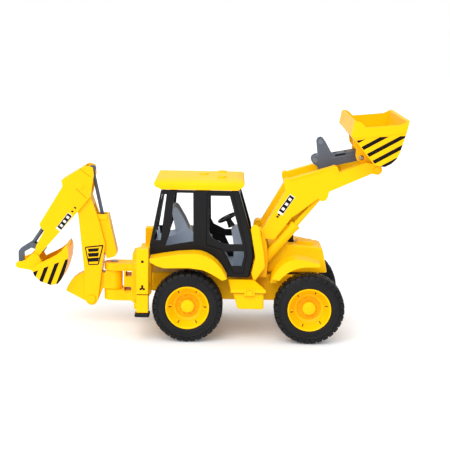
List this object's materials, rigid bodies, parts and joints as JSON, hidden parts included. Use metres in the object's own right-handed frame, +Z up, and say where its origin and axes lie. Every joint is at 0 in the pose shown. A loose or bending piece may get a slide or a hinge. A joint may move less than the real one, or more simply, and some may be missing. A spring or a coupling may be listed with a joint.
{
  "type": "toy backhoe loader",
  "caption": "Toy backhoe loader with a raised front bucket, cab, fat tyres and a folded digging arm; doors, hood, steering, stabilisers, both arms and both buckets move.",
  "frame": {"origin": "on the ground under the middle of the machine's overall box", "axes": "+X towards the front loader, +Y to the machine's left, +Z up"},
  "size_m": [0.4632, 0.16, 0.2678],
  "materials": {
    "yellow_plastic": "satin moulded plastic, warm yellow",
    "black_plastic": "satin moulded plastic, near black",
    "grey_plastic": "satin moulded plastic, blue grey",
    "tyre": "soft black tyre rubber with lugs",
    "steel": "plain steel pin"
  },
  "bodies": {
    "root": {"chassis_frame": "yellow_plastic", "rear_axle": "grey_plastic", "front_axle_beam": "grey_plastic", "engine_block": "grey_plastic", "cab_frame": "black_plastic", "cab_interior": "grey_plastic", "driver_seat": "grey_plastic", "cab_roof": "yellow_plastic", "rear_frame": "yellow_plastic", "rear_fender_right": "yellow_plastic", "rear_fender_left": "yellow_plastic", "front_fender_right": "yellow_plastic", "front_fender_left": "yellow_plastic", "side_box_right": "yellow_plastic", "side_box_left": "yellow_plastic", "loader_tower_right": "yellow_plastic", "loader_tower_left": "yellow_plastic", "stabiliser_housing_right": "yellow_plastic", "stabiliser_housing_left": "yellow_plastic"},
    "rear_wheel_right": {"rear_tyre_right": "tyre", "rear_rim_right": "yellow_plastic"},
    "knuckle_right": {"steering_knuckle_right": "grey_plastic"},
    "front_wheel_right": {"front_tyre_right": "tyre", "front_rim_right": "yellow_plastic"},
    "rear_wheel_left": {"rear_tyre_left": "tyre", "rear_rim_left": "yellow_plastic"},
    "knuckle_left": {"steering_knuckle_left": "grey_plastic"},
    "front_wheel_left": {"front_tyre_left": "tyre", "front_rim_left": "yellow_plastic"},
    "steering": {"steering_wheel": "black_plastic"},
    "track_rod": {"tie_rod": "grey_plastic"},
    "hood": {"hood": "yellow_plastic", "exhaust_stack": "black_plastic"},
    "door_right": {"door_right": "black_plastic"},
    "door_left": {"door_left": "black_plastic"},
    "loader": {"loader_arms": "yellow_plastic", "bucket_shaft": "yellow_plastic"},
    "lift_barrel_right": {"lift_barrel_right": "yellow_plastic"},
    "lift_rod_right": {"lift_rod_right": "yellow_plastic"},
    "lift_barrel_left": {"lift_barrel_left": "yellow_plastic"},
    "lift_rod_left": {"lift_rod_left": "yellow_plastic"},
    "front_bucket": {"front_bucket": "yellow_plastic"},
    "tilt_link": {"tilt_link": "grey_plastic"},
    "carriage": {"carriage": "yellow_plastic", "swing_pin": "steel"},
    "kingpost": {"kingpost": "yellow_plastic", "boom_pin": "yellow_plastic"},
    "boom": {"boom": "yellow_plastic"},
    "dipper": {"dipper": "yellow_plastic"},
    "dipper_rod": {"dipper_rod": "grey_plastic"},
    "rocker_link": {"rocker_link": "grey_plastic"},
    "bucket_rod": {"bucket_rod": "grey_plastic"},
    "digging_bucket": {"digging_bucket": "yellow_plastic"},
    "bucket_link": {"bucket_link": "grey_plastic"},
    "stabiliser_right": {"stabiliser_leg_right": "yellow_plastic", "stabiliser_foot_right": "black_plastic"},
    "stabiliser_left": {"stabiliser_leg_left": "yellow_plastic", "stabiliser_foot_left": "black_plastic"}
  },
  "joints": [
    {"name": "rear_wheel_right_spin", "type": "hinge", "parent": "root", "child": "rear_wheel_right", "pos_m": [-0.02, -0.061, 0.042], "axis": [0, 1, 0], "continuous": true},
    {"name": "knuckle_right_steer", "type": "hinge", "parent": "root", "child": "knuckle_right", "pos_m": [0.124, -0.042, 0.042], "axis": [0, 0, 1], "range_deg": [-12.2, 12.2]},
    {"name": "front_wheel_right_spin", "type": "hinge", "parent": "knuckle_right", "child": "front_wheel_right", "pos_m": [0.124, -0.061, 0.042], "axis": [0, 1, 0], "continuous": true},
    {"name": "rear_wheel_left_spin", "type": "hinge", "parent": "root", "child": "rear_wheel_left", "pos_m": [-0.02, 0.061, 0.042], "axis": [0, 1, 0], "continuous": true},
    {"name": "knuckle_left_steer", "type": "hinge", "parent": "root", "child": "knuckle_left", "pos_m": [0.124, 0.042, 0.042], "axis": [0, 0, 1], "range_deg": [-12.2, 12.2]},
    {"name": "front_wheel_left_spin", "type": "hinge", "parent": "knuckle_left", "child": "front_wheel_left", "pos_m": [0.124, 0.061, 0.042], "axis": [0, 1, 0], "continuous": true},
    {"name": "steering_turn", "type": "hinge", "parent": "root", "child": "steering", "pos_m": [0.0252, 0, 0.1382], "axis": [-0.454, 0, 0.891], "range_deg": [-72, 72]},
    {"name": "track_rod_slide", "type": "slide", "parent": "root", "child": "track_rod", "axis": [0, 1, 0], "range_m": [-0.0039, 0.0039]},
    {"name": "hood_open", "type": "hinge", "parent": "root", "child": "hood", "pos_m": [0.141, 0, 0.0795], "axis": [0, 1, 0], "range_deg": [0, 60]},
    {"name": "door_right_open", "type": "hinge", "parent": "root", "child": "door_right", "pos_m": [0.0021, -0.0488, 0.14], "axis": [0, 0, -1], "range_deg": [0, 40]},
    {"name": "door_left_open", "type": "hinge", "parent": "root", "child": "door_left", "pos_m": [0.0021, 0.0488, 0.14], "axis": [0, 0, 1], "range_deg": [0, 40]},
    {"name": "loader_lift", "type": "hinge", "parent": "root", "child": "loader", "pos_m": [0.0635, 0, 0.1265], "axis": [0, -1, 0], "range_deg": [-74, 4]},
    {"name": "lift_barrel_right_turn", "type": "hinge", "parent": "root", "child": "lift_barrel_right", "pos_m": [0.07, -0.032, 0.092], "axis": [0, -1, 0], "range_deg": [-69, 4]},
    {"name": "lift_rod_right_slide", "type": "slide", "parent": "lift_barrel_right", "child": "lift_rod_right", "axis": [0.6345, 0, 0.7729], "range_m": [-0.043, 0.0026]},
    {"name": "lift_barrel_left_turn", "type": "hinge", "parent": "root", "child": "lift_barrel_left", "pos_m": [0.07, 0.032, 0.092], "axis": [0, -1, 0], "range_deg": [-69, 4]},
    {"name": "lift_rod_left_slide", "type": "slide", "parent": "lift_barrel_left", "child": "lift_rod_left", "axis": [0.6345, 0, 0.7729], "range_m": [-0.043, 0.0026]},
    {"name": "front_bucket_tilt", "type": "hinge", "parent": "loader", "child": "front_bucket", "pos_m": [0.2014, 0, 0.2055], "axis": [0, 1, 0], "range_deg": [0, 110]},
    {"name": "tilt_link_turn", "type": "hinge", "parent": "front_bucket", "child": "tilt_link", "pos_m": [0.1833, 0, 0.218], "axis": [0, 1, 0], "range_deg": [-111, 1]},
    {"name": "side_shift", "type": "slide", "parent": "root", "child": "carriage", "axis": [0, 1, 0], "range_m": [-0.038, 0.038]},
    {"name": "backhoe_swing", "type": "hinge", "parent": "carriage", "child": "kingpost", "pos_m": [-0.113, 0, 0.06], "axis": [0, 0, 1], "range_deg": [-80, 80]},
    {"name": "boom_lift", "type": "hinge", "parent": "kingpost", "child": "boom", "pos_m": [-0.14, 0, 0.0355], "axis": [0, -1, 0], "range_deg": [0, 60]},
    {"name": "dipper_swing", "type": "hinge", "parent": "boom", "child": "dipper", "pos_m": [-0.153, 0, 0.1755], "axis": [0, 1, 0], "range_deg": [0, 95]},
    {"name": "dipper_rod_turn", "type": "hinge", "parent": "dipper", "child": "dipper_rod", "pos_m": [-0.14, 0, 0.1955], "axis": [0, 1, 0], "range_deg": [-87, 1]},
    {"name": "digging_bucket_turn", "type": "hinge", "parent": "dipper", "child": "digging_bucket", "pos_m": [-0.209, 0, 0.0865], "axis": [0, 1, 0], "range_deg": [0, 70]},
    {"name": "rocker_turn", "type": "hinge", "parent": "dipper", "child": "rocker_link", "pos_m": [-0.201, 0, 0.0955], "axis": [0, 1, 0], "range_deg": [-1, 79]},
    {"name": "bucket_rod_turn", "type": "hinge", "parent": "rocker_link", "child": "bucket_rod", "pos_m": [-0.2145, 0, 0.1005], "axis": [0, 1, 0], "range_deg": [-84, 1]},
    {"name": "bucket_link_turn", "type": "hinge", "parent": "digging_bucket", "child": "bucket_link", "pos_m": [-0.228, 0, 0.078], "axis": [0, 1, 0], "range_deg": [-32, 1]},
    {"name": "stabiliser_right_drop", "type": "slide", "parent": "root", "child": "stabiliser_right", "axis": [0, 0, -1], "range_m": [0, 0.0295]},
    {"name": "stabiliser_left_drop", "type": "slide", "parent": "root", "child": "stabiliser_left", "axis": [0, 0, -1], "range_m": [0, 0.0295]}
  ],
  "couplings": [
    {"joint": "knuckle_right_steer", "follows": "steering_turn", "ratio": 0.16667},
    {"joint": "knuckle_left_steer", "follows": "steering_turn", "ratio": 0.16667},
    {"joint": "track_rod_slide", "follows": "steering_turn", "m_per_rad": -0.003},
    {"joint": "lift_barrel_right_turn", "follows": "loader_lift", "ratio": 0.92},
    {"joint": "lift_rod_right_slide", "follows": "loader_lift", "m_per_rad": 0.033},
    {"joint": "lift_barrel_left_turn", "follows": "loader_lift", "ratio": 0.92},
    {"joint": "lift_rod_left_slide", "follows": "loader_lift", "m_per_rad": 0.033},
    {"joint": "tilt_link_turn", "follows": "front_bucket_tilt", "ratio": -1},
    {"joint": "dipper_rod_turn", "follows": "dipper_swing", "ratio": -0.9},
    {"joint": "rocker_turn", "follows": "digging_bucket_turn", "ratio": 1.09},
    {"joint": "bucket_rod_turn", "follows": "digging_bucket_turn", "ratio": -1.16},
    {"joint": "bucket_link_turn", "follows": "digging_bucket_turn", "ratio": -0.43}
  ]
}
